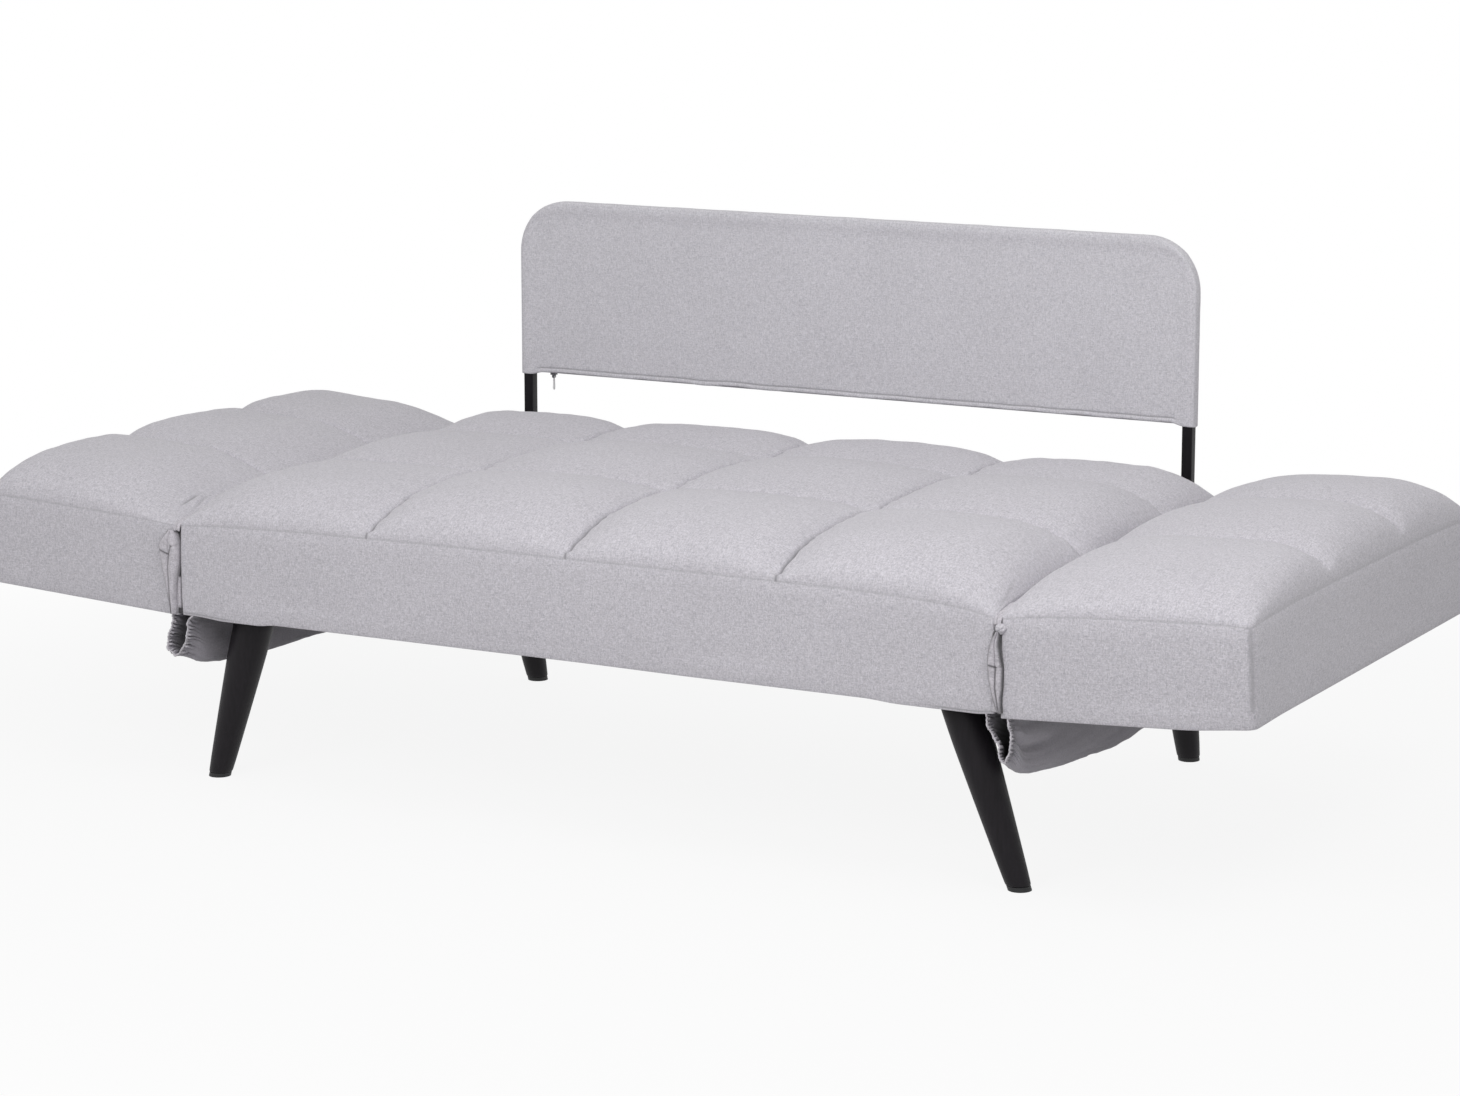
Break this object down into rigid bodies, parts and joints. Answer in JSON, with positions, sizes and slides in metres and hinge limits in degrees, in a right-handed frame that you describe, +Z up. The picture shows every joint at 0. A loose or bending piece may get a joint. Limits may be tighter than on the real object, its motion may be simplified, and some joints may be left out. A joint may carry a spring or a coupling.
{
  "type": "click clack sofa bed",
  "caption": "Low sofa bed with a tufted seat, tufted arms that fold up from level to upright, a thin backrest sleeve on a bent tube hoop, and splayed tapered legs.",
  "frame": {"origin": "on the floor under the middle of the sofa bed", "axes": "+X along the seat to the arm on the right seen from in front, +Y from front to back, +Z up"},
  "size_m": [1.851, 0.806, 0.7285],
  "materials": {
    "cover_fabric": "light grey woven, matte",
    "gusset_fabric": "grey woven lining, matte",
    "dust_cloth": "black non-woven, matte",
    "pad_foam": "foam faced board, matte",
    "timber": "sawn, matte",
    "plywood": "sanded, matte",
    "black_steel": "black powder coat, satin",
    "leg_black": "black lacquer, satin",
    "glide_plastic": "matte",
    "zinc_steel": "zinc plated, satin",
    "zip_plastic": "matte"
  },
  "bodies": {
    "base": {"seat_front_rail": "timber", "seat_rear_rail": "timber", "seat_left_rail": "timber", "seat_right_rail": "timber", "seat_middle_rail": "timber", "seat_deck": "plywood", "seat_dust_cloth": "dust_cloth", "seat_cushion": "cover_fabric", "left_front_leg": "leg_black", "left_front_glide": "glide_plastic", "left_front_leg_plate": "black_steel", "left_front_seat_bracket": "zinc_steel", "left_front_hinge_pin": "zinc_steel", "left_rear_leg": "leg_black", "left_rear_glide": "glide_plastic", "left_rear_leg_plate": "black_steel", "left_rear_seat_bracket": "zinc_steel", "left_rear_hinge_pin": "zinc_steel", "left_gusset": "gusset_fabric", "left_backrest_socket": "black_steel", "right_front_leg": "leg_black", "right_front_glide": "glide_plastic", "right_front_leg_plate": "black_steel", "right_front_seat_bracket": "zinc_steel", "right_front_hinge_pin": "zinc_steel", "right_rear_leg": "leg_black", "right_rear_glide": "glide_plastic", "right_rear_leg_plate": "black_steel", "right_rear_seat_bracket": "zinc_steel", "right_rear_hinge_pin": "zinc_steel", "right_gusset": "gusset_fabric", "right_backrest_socket": "black_steel", "backrest_hoop": "black_steel", "backrest_cross_tube": "black_steel", "backrest_pad": "pad_foam", "backrest_sleeve": "cover_fabric", "backrest_zip": "zip_plastic"},
    "left_arm": {"left_arm_front_rail": "timber", "left_arm_rear_rail": "timber", "left_arm_inner_rail": "timber", "left_arm_outer_rail": "timber", "left_arm_deck": "plywood", "left_arm_dust_cloth": "dust_cloth", "left_arm_cushion": "cover_fabric", "left_arm_front_bracket": "zinc_steel", "left_arm_rear_bracket": "zinc_steel"},
    "right_arm": {"right_arm_front_rail": "timber", "right_arm_rear_rail": "timber", "right_arm_inner_rail": "timber", "right_arm_outer_rail": "timber", "right_arm_deck": "plywood", "right_arm_dust_cloth": "dust_cloth", "right_arm_cushion": "cover_fabric", "right_arm_front_bracket": "zinc_steel", "right_arm_rear_bracket": "zinc_steel"},
    "zip_slider": {"zip_slider": "zinc_steel"},
    "zip_pull": {"zip_pull": "zip_plastic"}
  },
  "joints": [
    {"name": "left_arm_fold", "type": "hinge", "parent": "base", "child": "left_arm", "pos_m": [-0.6, 0, 0.35], "axis": [0, 1, 0], "range_deg": [0, 87], "deforming": ["left_gusset"]},
    {"name": "right_arm_fold", "type": "hinge", "parent": "base", "child": "right_arm", "pos_m": [0.6, 0, 0.35], "axis": [0, -1, 0], "range_deg": [0, 87], "deforming": ["right_gusset"]},
    {"name": "zip_travel", "type": "slide", "parent": "base", "child": "zip_slider", "axis": [1, 0, 0], "range_m": [0, 0.972]},
    {"name": "zip_pull_swing", "type": "hinge", "parent": "zip_slider", "child": "zip_pull", "pos_m": [-0.486, 0.368, 0.4682], "axis": [0, 1, 0], "range_deg": [-75, 75]}
  ]
}
